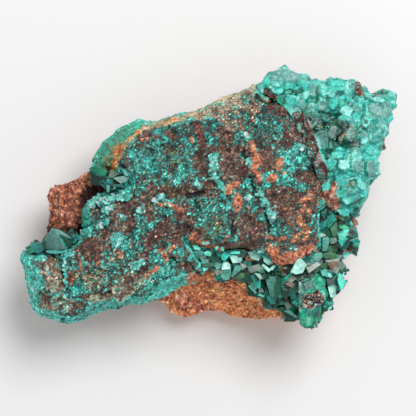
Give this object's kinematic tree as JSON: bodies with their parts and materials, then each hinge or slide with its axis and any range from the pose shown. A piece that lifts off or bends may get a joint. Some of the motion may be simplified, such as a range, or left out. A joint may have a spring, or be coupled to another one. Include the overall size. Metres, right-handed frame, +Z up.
{
  "type": "dioptase cluster",
  "caption": "Hand-sized mineral specimen lying flat: brown rock with a mottled green crust and edges grown with prismatic crystals.",
  "frame": {"origin": "on the level of the resting face, under the middle of the bounding box", "axes": "+X along the longest extent, towards the pale crystal band; +Y towards the back edge; +Z up, out of the mottled face"},
  "size_m": [0.0682, 0.047, 0.0267],
  "materials": {
    "iron_rock": "rough, granular, rust brown to maroon",
    "copper_crust": "matt to silky, finely mottled turquoise, teal and dark brown",
    "pale_crystal": "glassy, pale turquoise-green, slightly see-through",
    "dark_crystal": "glassy, deep emerald, see-through at thin edges"
  },
  "bodies": {
    "root": {"matrix_rock": "iron_rock", "mineral_crust": "copper_crust", "right_druse": "pale_crystal", "front_druse": "dark_crystal", "corner_crystals": "dark_crystal", "notch_crystals": "dark_crystal"}
  },
  "joints": []
}
